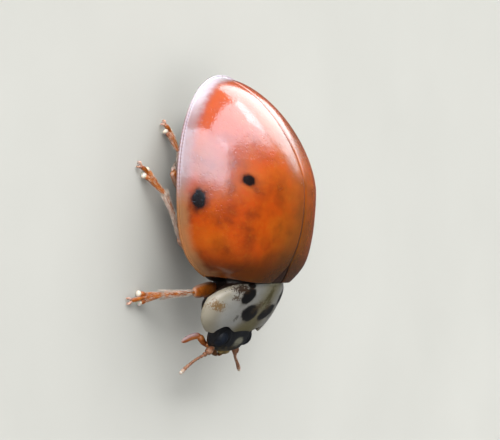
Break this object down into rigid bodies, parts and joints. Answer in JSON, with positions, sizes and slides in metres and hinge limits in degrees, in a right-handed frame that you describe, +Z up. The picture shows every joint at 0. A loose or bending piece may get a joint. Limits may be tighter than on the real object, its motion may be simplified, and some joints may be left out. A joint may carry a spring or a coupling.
{
  "type": "harlequin ladybird",
  "caption": "Life-size standing harlequin ladybird with domed orange spotted wing cases, cream shield, black head, feelers and jointed legs set in one pose.",
  "frame": {"origin": "on the ground, at the middle of the model's length and width", "axes": "+Z up, -Y toward the head, +X toward the animal's own left"},
  "size_m": [0.0074, 0.0076, 0.0033],
  "materials": {
    "wing_case": "glossy orange cuticle with fine pits, a pale translucent rim and four black spots",
    "scutellum": "dark brown glossy cuticle",
    "pronotum": "cream cuticle, finely pitted, with black and brown marks",
    "head": "black glossy cuticle with a cream patch on the face",
    "mouth_plate": "cream cuticle",
    "eye": "black faceted eye",
    "mandible": "dark brown cuticle",
    "feeler": "orange-brown cuticle with short pale hairs",
    "leg": "orange-brown cuticle with pale hairs and white pads",
    "underside": "dark and orange-brown cuticle in plates"
  },
  "bodies": {
    "root": {"elytron_left": "wing_case", "elytron_right": "wing_case", "scutellum": "scutellum", "thorax": "underside", "abdomen": "underside", "head": "head", "labrum": "mouth_plate", "eye_left": "eye", "eye_right": "eye", "mandible_left": "mandible", "mandible_right": "mandible", "antenna_left": "feeler", "antenna_right": "feeler", "palp_left": "feeler", "palp_right": "feeler", "pronotum": "pronotum", "prosternum": "underside", "coxa_fore_left": "leg", "femur_fore_left": "leg", "tibia_fore_left": "leg", "tarsus_fore_left": "leg", "coxa_fore_right": "leg", "femur_fore_right": "leg", "tibia_fore_right": "leg", "tarsus_fore_right": "leg", "coxa_mid_left": "leg", "femur_mid_left": "leg", "tibia_mid_left": "leg", "tarsus_mid_left": "leg", "coxa_mid_right": "leg", "femur_mid_right": "leg", "tibia_mid_right": "leg", "tarsus_mid_right": "leg", "coxa_hind_left": "leg", "femur_hind_left": "leg", "tibia_hind_left": "leg", "tarsus_hind_left": "leg", "coxa_hind_right": "leg", "femur_hind_right": "leg", "tibia_hind_right": "leg", "tarsus_hind_right": "leg"}
  },
  "joints": []
}
